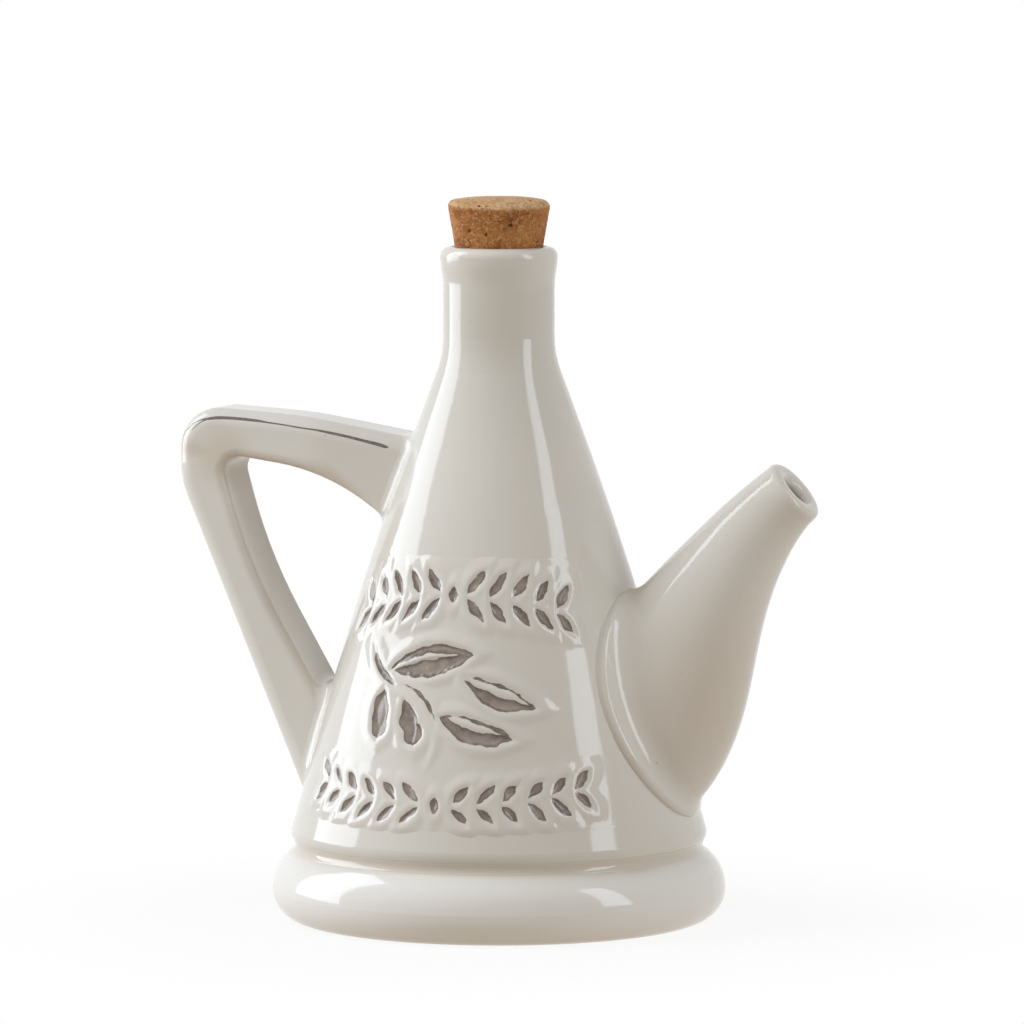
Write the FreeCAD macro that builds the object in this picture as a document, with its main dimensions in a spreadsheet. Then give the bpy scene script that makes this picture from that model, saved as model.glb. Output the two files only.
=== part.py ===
"""Glazed ceramic oil pourer with a tapered cork stopper.

The body is one casting: a rolled foot, a hollow cone, a neck with a rolled lip, a horn-shaped
spout that rises out of a raised band, and a strap handle. The cork sits in the neck and lifts out.

Frame: origin at the centre of the foot, +Z up, +X towards the spout, -X towards the handle.
Lengths are in millimetres and angles in degrees.
"""
import FreeCAD, Part
import math
import os

import Sketcher

# Driving sizes: name, value, meaning
DRIVING_SIZES = (
    ("foot_radius", 58.0, "widest radius of the rolled foot"),
    ("foot_bulge_height", 8.3, "height of the foot's widest place"),
    ("foot_side_flat", 0.2, "straight stretch of the foot's side, between its roundings"),
    ("foot_corner_height", 13.6, "where the foot's side and its upper slope would cross"),
    ("ring_inner_radius", 43.0, "inside of the ring that the pourer stands on"),
    ("base_recess", 1.5, "how far the base is hollowed inside its ring"),
    ("groove_radius", 51.5, "radius at the bottom of the groove over the foot"),
    ("groove_height", 19.1, "height of that groove"),
    ("groove_round", 1.0, "rounding in the groove"),
    ("belly_radius", 53.4, "radius where the belly's underside and the cone would cross"),
    ("belly_height", 22.1, "height of that crossing"),
    ("belly_round", 3.0, "rounding at the belly"),
    ("waist_radius", 33.65, "radius where the cone's lower and upper slopes cross"),
    ("waist_height", 92.1, "height of that crossing"),
    ("waist_round", 1000.0, "long rounding that makes the cone's side gently convex"),
    ("neck_radius", 14.2, "outer radius of the neck"),
    ("neck_length", 27.3, "from the mouth down to where the cone and the neck would cross"),
    ("neck_round", 25.0, "rounding from the cone into the neck"),
    ("lip_swell", 0.76, "how far the rolled lip stands out of the neck"),
    ("lip_length", 8.6, "from the mouth down to where the lip starts"),
    ("lip_slope", 4.9, "height over which the lip swells"),
    ("lip_under_round", 16.0, "rounding under the lip"),
    ("lip_round", 2.5, "rounding over the lip"),
    ("body_height", 172.1, "height of the mouth above the table"),
    ("wall", 3.6, "thickness of the cast wall"),
    ("base_thickness", 4.5, "thickness of the base"),
    ("cavity_round", 8.0, "rounding at the bottom of the cavity"),
    ("neck_wall", 2.8, "thickness of the neck's wall"),
    ("mouth_round", 0.9, "rounding at the inner edge of the mouth"),
    ("handle_width", 20.0, "width of the handle's strap, along Y"),
    ("handle_outer_round", 4.2, "rounding of the strap's outer edges"),
    ("handle_inner_round", 2.4, "rounding of the strap's edges round the finger gap"),
    ("handle_reach", 84.3, "from the axis to the back of the handle"),
    ("handle_top_rise", 10.5, "from the strap's upper root up to its top corner"),
    ("handle_corner_round", 10.4, "rounding of the strap's top corner"),
    ("handle_back_drop", 19.3, "from the strap's top corner down to where its back starts to slope"),
    ("handle_back_round", 22.0, "rounding of the back where it starts to slope"),
    ("handle_crest_reach", 52.0, "from the axis to the bend in the strap's top"),
    ("handle_crest_rise", 8.5, "from the strap's upper root up to that bend"),
    ("handle_crest_round", 120.0, "rounding of that bend"),
    ("handle_root_drop", 25.0, "from the foot of the neck down to the strap's upper root"),
    ("handle_heel_reach", 45.1, "from the axis to the lower end of the strap's back, inside the wall"),
    ("handle_heel_height", 18.3, "height of that lower end"),
    ("strap_back", 11.3, "thickness of the strap behind the finger gap's upper corner"),
    ("strap_top", 12.1, "thickness of the strap over that corner"),
    ("gap_corner_round", 4.0, "rounding of the finger gap's upper corner"),
    ("gap_crown_offset", 9.0, "from the bend in the strap's top to the bend over the finger gap"),
    ("strap_crown", 14.5, "thickness of the strap over that bend"),
    ("gap_crown_round", 57.0, "rounding of that bend"),
    ("gap_foot_out", 0.7824, "share of the way out from the gap's heel to its corner where its side bends"),
    ("gap_foot_up", 0.631, "share of the way up from that heel to that corner at that bend"),
    ("gap_foot_round", 130.0, "rounding of that bend"),
    ("gap_root_drop", 32.2, "from the bend over the gap down to where its line would reach the axis"),
    ("gap_heel_reach", 39.0, "from the axis to the lower end of the gap's side, inside the wall"),
    ("gap_heel_height", 45.3, "height of that lower end"),
    ("spout_tip_x", 79.6, "centre of the pouring tip, along X"),
    ("spout_tip_z", 112.45, "height of the centre of the pouring tip"),
    ("spout_tip_tilt", 49.9, "tilt of the tip's cut, in degrees"),
    ("spout_tip_depth", 17.5, "the tip along its cut"),
    ("spout_tip_width", 17.0, "the tip along Y"),
    ("spout_throat_x", 67.7, "centre of the section below the tip"),
    ("spout_throat_z", 99.5, "height of that centre"),
    ("spout_throat_tilt", 52.4, "tilt of that section"),
    ("spout_throat_depth", 22.5, "that section across the spout"),
    ("spout_throat_width", 21.0, "that section along Y"),
    ("spout_middle_x", 60.2, "centre of the section halfway"),
    ("spout_middle_z", 85.2, "height of that centre"),
    ("spout_middle_tilt", 61.5, "tilt of that section"),
    ("spout_middle_depth", 34.0, "that section across the spout"),
    ("spout_middle_width", 27.0, "that section along Y"),
    ("spout_swell_x", 53.4, "centre of the section at the swell"),
    ("spout_swell_z", 71.4, "height of that centre"),
    ("spout_swell_tilt", 61.4, "tilt of that section"),
    ("spout_swell_depth", 44.4, "that section across the spout"),
    ("spout_swell_width", 32.0, "that section along Y"),
    ("spout_root_x", 44.8, "centre of the section at the wall"),
    ("spout_root_z", 58.5, "height of that centre"),
    ("spout_root_tilt", 67.4, "tilt of that section"),
    ("spout_root_depth", 52.8, "that section across the spout"),
    ("spout_root_width", 35.0, "that section along Y"),
    ("spout_inner_x", 37.0, "centre of the section inside the cone"),
    ("spout_inner_z", 52.4, "height of that centre"),
    ("spout_inner_tilt", 67.9, "tilt of that section"),
    ("spout_inner_depth", 52.6, "that section across the spout"),
    ("spout_inner_width", 34.0, "that section along Y"),
    ("spout_bore", 9.4, "width of the hole in the tip"),
    ("spout_rim_round", 1.7, "rounding round the outside of the tip"),
    ("spout_bore_round", 1.3, "rounding at the edge of the hole"),
    ("collar_center_height", 57.0, "height of the middle of the raised band round the spout's root"),
    ("collar_height", 57.6, "height of that band's oval"),
    ("collar_width", 49.0, "width of that band's oval, along Y"),
    ("collar_rise", 1.8, "how far the band stands out of the cone"),
    ("collar_round", 1.7, "rounding of the band's edge"),
    ("spout_root_round", 7.0, "hollow rounding where the spout leaves its band"),
    ("handle_root_round", 3.5, "hollow rounding where the handle leaves the cone"),
    ("relief_depth", 0.7, "how deep the decoration is pressed into the front"),
    ("upper_row_height", 86.3, "height of the middle of the upper row of leaves, at the front"),
    ("upper_row_drop", 0.0019, "how that row sinks to both sides, for the square of the turn"),
    ("upper_row_step", 9.2, "turn from one pair of its leaves to the next"),
    ("upper_row_root_across", -1.9, "from the middle of a pair to the root of its leaves, outwards"),
    ("upper_row_root_up", 0.7, "from the middle of a pair to the root of its upper leaf"),
    ("upper_row_tip_across", 2.3, "from the middle of a pair to the tips of its leaves"),
    ("upper_row_tip_up", 6.2, "from the middle of a pair to the tip of its upper leaf"),
    ("upper_row_bulge", 1.15, "how far the sides of its leaves bow out"),
    ("upper_row_bead", 2.2, "half the height of the bead in the middle of the row"),
    ("lower_row_height", 34.8, "height of the middle of the lower row, at the front"),
    ("lower_row_drop", -0.0018, "how that row rises to both sides"),
    ("lower_row_step", 7.4, "turn from one pair of its leaves to the next"),
    ("lower_row_root_across", -2.0, "from the middle of a pair to the root of its leaves, outwards"),
    ("lower_row_root_up", 0.6, "from the middle of a pair to the root of its upper leaf"),
    ("lower_row_tip_across", 2.4, "from the middle of a pair to the tips of its leaves"),
    ("lower_row_tip_up", 4.8, "from the middle of a pair to the tip of its upper leaf"),
    ("lower_row_bulge", 1.05, "how far the sides of its leaves bow out"),
    ("lower_row_bead", 2.2, "half the height of the bead in the middle of the row"),
    ("cork_taper", 0.165, "how much the cork's radius grows for each unit of height"),
    ("cork_stand", 11.5, "from the mouth to the cork's upper edge"),
    ("cork_insert", 13.5, "length of cork inside the neck"),
    ("cork_dome", 1.2, "rise of the cork's top over its edge"),
    ("cork_crown_radius", 7.5, "radius where the cork's top would bend down to its edge"),
    ("cork_crown_round", 30.0, "rounding of that bend, which makes the top a low dome"),
    ("cork_edge_round", 0.9, "rounding of the cork's edges"),
    ("cork_clearance", 0.2, "room between the cork and the neck at the mouth"),
)

# Pairs of leaves on each side of a row's bead
ROW_PAIRS = (("upper_row", 5), ("lower_row", 6))

# The sprig's blades seen from the front: both ends, and how far each side bows out to its left and right
BLADE_PARTS = ("from_across", "from_up", "to_across", "to_up", "left", "right")
SPRIG_BLADES = (
    ("upper_leaf", -15.8, 67.3, 6.6, 71.8, 4.6, 3.2),
    ("upper_leaf_vein", -13.4, 68.3, 2.8, 71.7, 2.5, -1.3),
    ("middle_leaf", 4.8, 66.4, 22.6, 58.8, 1.9, 3.9),
    ("middle_leaf_vein", 7.2, 65.3, 19.4, 60.2, 0.5, 0.9),
    ("lower_leaf", -0.8, 56.8, 18.4, 51.3, 1.9, 4.1),
    ("lower_leaf_vein", 1.9, 56.2, 14.8, 52.4, 0.5, 0.9),
    ("twig", -21.7, 72.7, -12.8, 63.0, -0.7, 2.3),
    ("stalk", -10.5, 63.3, -2.2, 55.6, 1.7, -0.9),
    ("left_olive", -17.2, 62.4, -17.8, 50.2, 2.4, 2.6),
    ("right_olive", -10.8, 60.4, -7.2, 49.0, 2.5, 2.4),
)

# Sizes that follow from the driving ones
DERIVED_SIZES = (
    ("neck_height", "=body_height - neck_length"),
    ("lip_radius", "=neck_radius + lip_swell"),
    ("lip_under_height", "=body_height - lip_length"),
    ("mouth_radius", "=neck_radius - neck_wall"),
    ("lower_slope_turn", "=atan((belly_radius - waist_radius) / (waist_height - belly_height))"),
    ("upper_slope_turn", "=atan((waist_radius - neck_radius) / (neck_height - waist_height))"),
    ("upper_slope_length", "=(neck_height - waist_height) / cos(upper_slope_turn)"),
    ("upper_slope_room", "=upper_slope_length - neck_round * tan(upper_slope_turn / 2)"),
    ("waist_turn", "=abs(upper_slope_turn - lower_slope_turn)"),
    ("waist_curve", "=min(waist_round; 0.95 * upper_slope_room / tan(waist_turn / 2))"),
    ("handle_root_height", "=neck_height - handle_root_drop"),
    ("handle_crest_height", "=handle_root_height + handle_crest_rise"),
    ("handle_top_height", "=handle_root_height + handle_top_rise"),
    ("handle_back_height", "=handle_top_height - handle_back_drop"),
    ("gap_reach", "=handle_reach - strap_back"),
    ("gap_height", "=handle_top_height - strap_top"),
    ("gap_crown_reach", "=handle_crest_reach - gap_crown_offset"),
    ("gap_crown_height", "=handle_crest_height - strap_crown"),
    ("gap_foot_reach", "=gap_heel_reach + gap_foot_out * (gap_reach - gap_heel_reach)"),
    ("gap_foot_height", "=gap_heel_height + gap_foot_up * (gap_height - gap_heel_height)"),
    ("gap_lower_lean", "=atan((gap_foot_reach - gap_heel_reach) / (gap_foot_height - gap_heel_height))"),
    ("gap_upper_lean", "=atan((gap_reach - gap_foot_reach) / (gap_height - gap_foot_height))"),
    ("gap_side_length", "=(gap_height - gap_foot_height) / cos(gap_upper_lean)"),
    ("gap_side_room", "=0.75 * (gap_side_length - 1.3 * gap_corner_round)"),
    ("gap_side_turn", "=abs(gap_lower_lean - gap_upper_lean)"),
    ("gap_side_curve", "=min(gap_foot_round; gap_side_room / tan(gap_side_turn / 2))"),
    ("gap_root_height", "=gap_crown_height - gap_root_drop"),
    ("gap_root_rise", "=atan((gap_crown_height - gap_root_height) / gap_crown_reach)"),
    ("gap_crown_rise", "=atan((gap_height - gap_crown_height) / (gap_reach - gap_crown_reach))"),
    ("gap_crown_length", "=(gap_reach - gap_crown_reach) / cos(gap_crown_rise)"),
    ("gap_crown_room", "=0.8 * (gap_crown_length - 1.3 * gap_corner_round)"),
    ("gap_crown_turn", "=abs(gap_root_rise - gap_crown_rise)"),
    ("gap_crown_curve", "=min(gap_crown_round; gap_crown_room / tan(gap_crown_turn / 2))"),
    ("foot_lower_round", "=foot_bulge_height - foot_side_flat / 2"),
    ("foot_slope_turn", "=atan2(foot_radius - groove_radius; groove_height - foot_corner_height)"),
    ("foot_slope_start", "=foot_corner_height - foot_bulge_height - foot_side_flat / 2"),
    ("foot_upper_round", "=foot_slope_start / tan(foot_slope_turn / 2)"),
    ("collar_belly_radius", "=belly_radius + collar_rise"),
    ("collar_waist_radius", "=waist_radius + collar_rise"),
    ("collar_neck_radius", "=neck_radius + collar_rise"),
    ("collar_block_length", "=belly_radius + collar_rise * 2"),
    ("collar_far_radius", "=collar_block_length * 2"),
    ("relief_belly_radius", "=belly_radius - relief_depth"),
    ("relief_waist_radius", "=waist_radius - relief_depth"),
    ("relief_neck_radius", "=neck_radius - relief_depth"),
    ("lip_side_height", "=lip_under_height + lip_slope"),
    ("cavity_base_height", "=base_recess + base_thickness"),
    ("cavity_belly_radius", "=belly_radius - wall"),
    ("cavity_waist_radius", "=waist_radius - wall"),
    ("cavity_neck_height", "=neck_height - (wall - neck_radius + mouth_radius) * 2"),
    ("mouth_flare_radius", "=mouth_radius + mouth_round"),
    ("spout_outlet_x", "=spout_tip_x + wall * sin(spout_tip_tilt)"),
    ("spout_outlet_z", "=spout_tip_z + wall * cos(spout_tip_tilt)"),
    ("spout_outlet_tilt", "=spout_tip_tilt"),
    ("mouth_edge_height", "=body_height - mouth_round"),
    ("cork_seat_radius", "=mouth_radius - cork_clearance"),
    ("cork_bottom_height", "=mouth_edge_height - cork_insert"),
    ("cork_bottom_radius", "=cork_seat_radius - cork_insert * cork_taper"),
    ("cork_edge_height", "=body_height + cork_stand"),
    ("cork_edge_radius", "=cork_seat_radius + (cork_edge_height - mouth_edge_height) * cork_taper"),
    ("cork_top_height", "=cork_edge_height + cork_dome"),
)

CHANNEL_STATIONS = ("inner", "root", "swell", "middle", "throat")
SPOUT_STATIONS = CHANNEL_STATIONS + ("tip",)

BLADE_SIZES = tuple(
    (f"{blade}_{part}", str(value))
    for blade, *values in SPRIG_BLADES
    for part, value in zip(BLADE_PARTS, values)
)

# The channel is the horn less its wall
CHANNEL_SIZES = tuple(
    (f"channel_{station}_{side}", f"=spout_{station}_{side} - 2 * wall")
    for station in CHANNEL_STATIONS
    for side in ("depth", "width")
)

# How near two shapes lie that touch
TOUCH = 0.001

doc = FreeCAD.newDocument("OilPourer")


def make_sheet():
    """Writes every size into the spreadsheet, one row each."""
    sheet = doc.addObject("Spreadsheet::Sheet", "sizes")
    for row, (alias, value, meaning) in enumerate(DRIVING_SIZES, start=1):
        sheet.set(f"A{row}", meaning)
        sheet.set(f"B{row}", str(value))
        sheet.setAlias(f"B{row}", alias)
    for alias, formula in BLADE_SIZES + DERIVED_SIZES + CHANNEL_SIZES:
        row += 1
        sheet.set(f"B{row}", formula)
        sheet.setAlias(f"B{row}", alias)
    doc.recompute()
    return sheet


sizes = make_sheet()


def size(alias):
    """Value of a size; a leading minus turns it round, and no name is nought."""
    if alias is None:
        return 0.0
    if alias.startswith("-"):
        return -float(sizes.get(alias[1:]))
    return float(sizes.get(alias))


def bound(alias):
    """Expression that reads a size from the spreadsheet."""
    if alias is None:
        return "0"
    return f"-sizes.{alias[1:]}" if alias.startswith("-") else f"sizes.{alias}"


def origin_plane(body, role):
    return next(feature for feature in body.Origin.OriginFeatures if feature.Role == role)


def new_sketch(body, name, role):
    sketch = body.newObject("Sketcher::SketchObject", name)
    sketch.AttachmentSupport = [(origin_plane(body, role), "")]
    sketch.MapMode = "FlatFace"
    return sketch


def place_point(sketch, geometry, end, across, up):
    """Holds one point of a sketch at two named sizes; a size without a name is an axis."""
    for kind, alias, axis in (("DistanceX", across, -2), ("DistanceY", up, -1)):
        if alias is None:
            sketch.addConstraint(Sketcher.Constraint("PointOnObject", geometry, end, axis))
            continue
        index = sketch.addConstraint(Sketcher.Constraint(kind, -1, 1, geometry, end, size(alias)))
        sketch.setExpression(f"Constraints[{index}]", bound(alias))


def round_corner(sketch, corner, before, after, rounding):
    """Rounds the corner between two sides with a tangent arc of a named radius."""
    radius = size(rounding)
    start = sketch.Geometry[before].EndPoint
    stop = sketch.Geometry[after].StartPoint
    back = (start - corner).normalize()
    ahead = (stop - corner).normalize()
    half = back.getAngle(ahead) / 2
    center = corner + (back + ahead).normalize() * (radius / math.sin(half))
    left_turn = back.cross(ahead).z < 0
    first, last = (start, stop) if left_turn else (stop, start)
    angles = [math.atan2(spot.y - center.y, spot.x - center.x) for spot in (first, last)]
    circle = Part.Circle(center, FreeCAD.Vector(0, 0, 1), radius)
    arc = sketch.addGeometry(Part.ArcOfCircle(circle, *angles))
    arc_start, arc_stop = (1, 2) if left_turn else (2, 1)
    sketch.addConstraint(Sketcher.Constraint("Tangent", before, 2, arc, arc_start))
    sketch.addConstraint(Sketcher.Constraint("Tangent", after, 1, arc, arc_stop))
    index = sketch.addConstraint(Sketcher.Constraint("Radius", arc, radius))
    sketch.setExpression(f"Constraints[{index}]", bound(rounding))


def draw_outline(sketch, corners):
    """Closed outline of straight sides through named corners (across, up, rounding)."""
    count = len(corners)
    spots = [FreeCAD.Vector(size(across), size(up), 0) for across, up, _ in corners]
    ends = []
    for index, (_, _, rounding) in enumerate(corners):
        back = (spots[index - 1] - spots[index]).normalize()
        ahead = (spots[(index + 1) % count] - spots[index]).normalize()
        reach = size(rounding) / math.tan(back.getAngle(ahead) / 2)
        ends.append((spots[index] + back * reach, spots[index] + ahead * reach))
    sides = [
        sketch.addGeometry(Part.LineSegment(ends[index][1], ends[(index + 1) % count][0]))
        for index in range(count)
    ]
    for index, (across, up, rounding) in enumerate(corners):
        before, after = sides[index - 1], sides[index]
        if rounding is None:
            sketch.addConstraint(Sketcher.Constraint("Coincident", before, 2, after, 1))
            place_point(sketch, after, 1, across, up)
            continue
        point = sketch.addGeometry(Part.Point(spots[index]), True)
        sketch.addConstraint(Sketcher.Constraint("PointOnObject", point, 1, before))
        sketch.addConstraint(Sketcher.Constraint("PointOnObject", point, 1, after))
        place_point(sketch, point, 1, across, up)
        round_corner(sketch, spots[index], before, after, rounding)


WALL_OUTLINE = (
    (None, "base_recess", None),
    ("ring_inner_radius", "base_recess", None),
    ("ring_inner_radius", None, None),
    ("foot_radius", None, "foot_lower_round"),
    ("foot_radius", "foot_corner_height", "foot_upper_round"),
    ("groove_radius", "groove_height", "groove_round"),
    ("belly_radius", "belly_height", "belly_round"),
    ("waist_radius", "waist_height", "waist_curve"),
    ("neck_radius", "neck_height", "neck_round"),
    ("neck_radius", "lip_under_height", "lip_under_round"),
    ("lip_radius", "lip_side_height", "lip_under_round"),
    ("lip_radius", "body_height", "lip_round"),
    (None, "body_height", None),
)

CAVITY_OUTLINE = (
    (None, "cavity_base_height", None),
    ("cavity_belly_radius", "cavity_base_height", "cavity_round"),
    ("cavity_belly_radius", "belly_height", "belly_round"),
    ("cavity_waist_radius", "waist_height", "waist_curve"),
    ("mouth_radius", "cavity_neck_height", "neck_round"),
    ("mouth_radius", "mouth_edge_height", None),
    ("mouth_flare_radius", "body_height", None),
    ("mouth_flare_radius", "cork_edge_height", None),
    (None, "cork_edge_height", None),
)

# The handle is drawn from the side, with both ends run on into the cone
HANDLE_OUTLINE = (
    (None, "handle_root_height", None),
    ("-handle_crest_reach", "handle_crest_height", "handle_crest_round"),
    ("-handle_reach", "handle_top_height", "handle_corner_round"),
    ("-handle_reach", "handle_back_height", "handle_back_round"),
    ("-handle_heel_reach", "handle_heel_height", None),
    (None, "handle_heel_height", None),
)

GAP_OUTLINE = (
    (None, "gap_heel_height", None),
    ("-gap_heel_reach", "gap_heel_height", None),
    ("-gap_foot_reach", "gap_foot_height", "gap_side_curve"),
    ("-gap_reach", "gap_height", "gap_corner_round"),
    ("-gap_crown_reach", "gap_crown_height", "gap_crown_curve"),
    (None, "gap_root_height", None),
)

# All that lies outside the surface of the raised band
OUTSIDE_COLLAR_OUTLINE = (
    ("collar_belly_radius", None, None),
    ("collar_belly_radius", "belly_height", "belly_round"),
    ("collar_waist_radius", "waist_height", "waist_curve"),
    ("collar_neck_radius", "neck_height", None),
    ("collar_far_radius", "neck_height", None),
    ("collar_far_radius", None, None),
)

# Where the pressed decoration ends under the surface of the cone
RELIEF_FLOOR_OUTLINE = (
    (None, None, None),
    ("relief_belly_radius", None, None),
    ("relief_belly_radius", "belly_height", "belly_round"),
    ("relief_waist_radius", "waist_height", "waist_curve"),
    ("relief_neck_radius", "neck_height", None),
    (None, "neck_height", None),
)

CORK_OUTLINE = (
    (None, "cork_bottom_height", None),
    ("cork_bottom_radius", "cork_bottom_height", "cork_edge_round"),
    ("cork_edge_radius", "cork_edge_height", "cork_edge_round"),
    ("cork_crown_radius", "cork_top_height", "cork_crown_round"),
    (None, "cork_top_height", None),
)


def revolve(body, name, outline, feature="PartDesign::Revolution"):
    """Turns an outline drawn in the XZ plane once round the Z axis."""
    sketch = new_sketch(body, name + "Outline", "XZ_Plane")
    draw_outline(sketch, outline)
    turned = body.newObject(feature, name)
    turned.Profile = sketch
    turned.ReferenceAxis = (sketch, ["V_Axis"])
    turned.Angle = 360
    return turned


def draw_oval(sketch, long_size, short_size, upright=False, up=None):
    """Oval whose long axis lies across, or stands up, through the middle of the sketch."""
    axis = FreeCAD.Vector(0, 1, 0) if upright else FreeCAD.Vector(1, 0, 0)
    side = FreeCAD.Vector(1, 0, 0) if upright else FreeCAD.Vector(0, 1, 0)
    center = FreeCAD.Vector(0, size(up), 0)
    long_tip = center + axis * (size(long_size) / 2)
    short_tip = center + side * (size(short_size) / 2)
    oval = sketch.addGeometry(Part.Ellipse(long_tip, short_tip, center))
    sketch.exposeInternalGeometry(oval)
    long_line, short_line = oval + 1, oval + 2
    place_point(sketch, oval, 3, None, up)
    if upright:
        sketch.addConstraint(Sketcher.Constraint("PointOnObject", long_line, 1, -2))
    else:
        sketch.addConstraint(Sketcher.Constraint("PointOnObject", long_line, 1, -1))
    for line, alias in ((long_line, long_size), (short_line, short_size)):
        index = sketch.addConstraint(Sketcher.Constraint("Distance", line, size(alias)))
        sketch.setExpression(f"Constraints[{index}]", bound(alias))


def spout_section(body, station, depth, width):
    """Oval section set across the spout at one of its stations."""
    x, z, tilt = (f"spout_{station}_{part}" for part in ("x", "z", "tilt"))
    sketch = new_sketch(body, f"{body.Name}{station.title()}", "XY_Plane")
    turn = FreeCAD.Rotation(FreeCAD.Vector(0, 1, 0), size(tilt))
    sketch.AttachmentOffset = FreeCAD.Placement(FreeCAD.Vector(size(x), 0, size(z)), turn)
    sketch.setExpression(".AttachmentOffset.Base.x", bound(x))
    sketch.setExpression(".AttachmentOffset.Base.z", bound(z))
    sketch.setExpression(".AttachmentOffset.Rotation.Angle", bound(tilt))
    draw_oval(sketch, depth, width)
    return sketch


def loft(body, name, sketches, feature="PartDesign::AdditiveLoft"):
    lofted = body.newObject(feature, name)
    lofted.Profile = sketches[0]
    lofted.Sections = sketches[1:]
    return lofted


def middle_of(edge):
    return edge.valueAt((edge.FirstParameter + edge.LastParameter) / 2)


def round_edges(body, name, rounding, chosen):
    """Rounds those edges of the body that a test picks out by their place."""
    doc.recompute()
    last = body.Tip
    names = [f"Edge{number}" for number, edge in enumerate(last.Shape.Edges, start=1) if chosen(edge)]
    rounded = body.newObject("PartDesign::Fillet", name)
    rounded.Base = (last, names)
    rounded.Radius = size(rounding)
    rounded.setExpression("Radius", bound(rounding))
    doc.recompute()
    return rounded


def rides_on(skins, edge):
    """Whether an edge's middle lies on the skin of each given shape."""
    spot = Part.Vertex(middle_of(edge))
    return all(skin.distToShape(spot)[0] < TOUCH for skin in skins)


def on_strap_side(sketch, end_height):
    """Test for the long edges of the strap's flat sides that follow a sketch outside the cone."""
    half = size("handle_width") / 2

    def chosen(edge):
        spot = middle_of(edge)
        dropped = Part.Vertex(spot.x, 0, spot.z)
        shows = spot.x < -TOUCH and abs(spot.z - size(end_height)) > TOUCH
        on_side = abs(abs(spot.y) - half) < TOUCH
        return shows and on_side and sketch.Shape.distToShape(dropped)[0] < TOUCH

    return chosen


def make_handle():
    """Flat plate cut to the handle's side view, then opened for the fingers; its long edges are rounded."""
    body = doc.addObject("PartDesign::Body", "HandleBody")
    side = new_sketch(body, "HandleSide", "XZ_Plane")
    draw_outline(side, HANDLE_OUTLINE)
    plate = body.newObject("PartDesign::Pad", "Plate")
    plate.Profile = side
    plate.SideType = "Symmetric"
    plate.Length = size("handle_width")
    plate.setExpression("Length", bound("handle_width"))
    round_edges(body, "OuterRounding", "handle_outer_round", on_strap_side(side, "handle_heel_height"))
    opening = new_sketch(body, "FingerGap", "XZ_Plane")
    draw_outline(opening, GAP_OUTLINE)
    gap = body.newObject("PartDesign::Pocket", "Gap")
    gap.Profile = opening
    gap.SideType = "Symmetric"
    gap.Type = "ThroughAll"
    round_edges(body, "InnerRounding", "handle_inner_round", on_strap_side(opening, "gap_heel_height"))
    return body


def make_collar():
    """Raised oval band round the spout's root: a block whose end follows the cone."""
    body = doc.addObject("PartDesign::Body", "CollarBody")
    sketch = new_sketch(body, "CollarOval", "YZ_Plane")
    draw_oval(sketch, "collar_height", "collar_width", upright=True, up="collar_center_height")
    block = body.newObject("PartDesign::Pad", "CollarBlock")
    block.Profile = sketch
    block.Length = size("collar_block_length")
    block.setExpression("Length", bound("collar_block_length"))
    revolve(body, "CollarSurface", OUTSIDE_COLLAR_OUTLINE, "PartDesign::Groove")
    round_edges(body, "CollarRounding", "collar_round",
                lambda edge: isinstance(edge.Curve, Part.BSplineCurve))
    return body


def make_spout():
    """Horn lofted through oval sections, from inside the cone to the pouring tip."""
    body = doc.addObject("PartDesign::Body", "SpoutBody")
    sections = [spout_section(body, s, f"spout_{s}_depth", f"spout_{s}_width") for s in SPOUT_STATIONS]
    loft(body, "Horn", sections)
    return body


def channel_sections(body):
    """Sections of the spout's channel: the horn's, less the wall, then the bore through the tip."""
    sections = []
    for station in CHANNEL_STATIONS:
        sections.append(spout_section(body, station, f"channel_{station}_depth", f"channel_{station}_width"))
    sections.append(spout_section(body, "outlet", "spout_bore", "spout_bore"))
    return sections


def draw_bow(sketch, start, end, bulge):
    """Arc between two points that bows out to the left of the way there, or to the right if negative."""
    chord = end - start
    left = FreeCAD.Vector(-chord.y, chord.x, 0).normalize()
    radius = (chord.Length ** 2 / 4 + bulge ** 2) / (2 * abs(bulge))
    center = (start + end) / 2 + left * (bulge - math.copysign(radius, bulge))
    first, last = (end, start) if bulge > 0 else (start, end)
    angles = [math.atan2(spot.y - center.y, spot.x - center.x) for spot in (first, last)]
    circle = Part.Circle(center, FreeCAD.Vector(0, 0, 1), radius)
    arc = sketch.addGeometry(Part.ArcOfCircle(circle, *angles))
    arc_start, arc_end = (2, 1) if bulge > 0 else (1, 2)
    return arc, arc_start, arc_end


def draw_blade(sketch, from_across, from_up, to_across, to_up, left, right):
    """Closed outline with two pointed ends, each side one arc; every argument names a size."""
    start = FreeCAD.Vector(size(from_across), size(from_up), 0)
    end = FreeCAD.Vector(size(to_across), size(to_up), 0)
    across = f"({bound(to_across)} - ({bound(from_across)}))"
    up = f"({bound(to_up)} - ({bound(from_up)}))"
    one, one_start, one_end = draw_bow(sketch, start, end, size(left))
    other, other_start, other_end = draw_bow(sketch, start, end, -size(right))
    sketch.addConstraint(Sketcher.Constraint("Coincident", one, one_start, other, other_start))
    sketch.addConstraint(Sketcher.Constraint("Coincident", one, one_end, other, other_end))
    place_point(sketch, one, one_start, from_across, from_up)
    place_point(sketch, one, one_end, to_across, to_up)
    for arc, bulge in ((one, left), (other, right)):
        index = sketch.addConstraint(Sketcher.Constraint("Radius", arc, sketch.Geometry[arc].Radius))
        bow = f"({bound(bulge)})"
        formula = f"(({across}^2 + {up}^2) / 4 + {bow}^2) / (2 * abs({bow}))"
        sketch.setExpression(f"Constraints[{index}]", formula)


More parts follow.
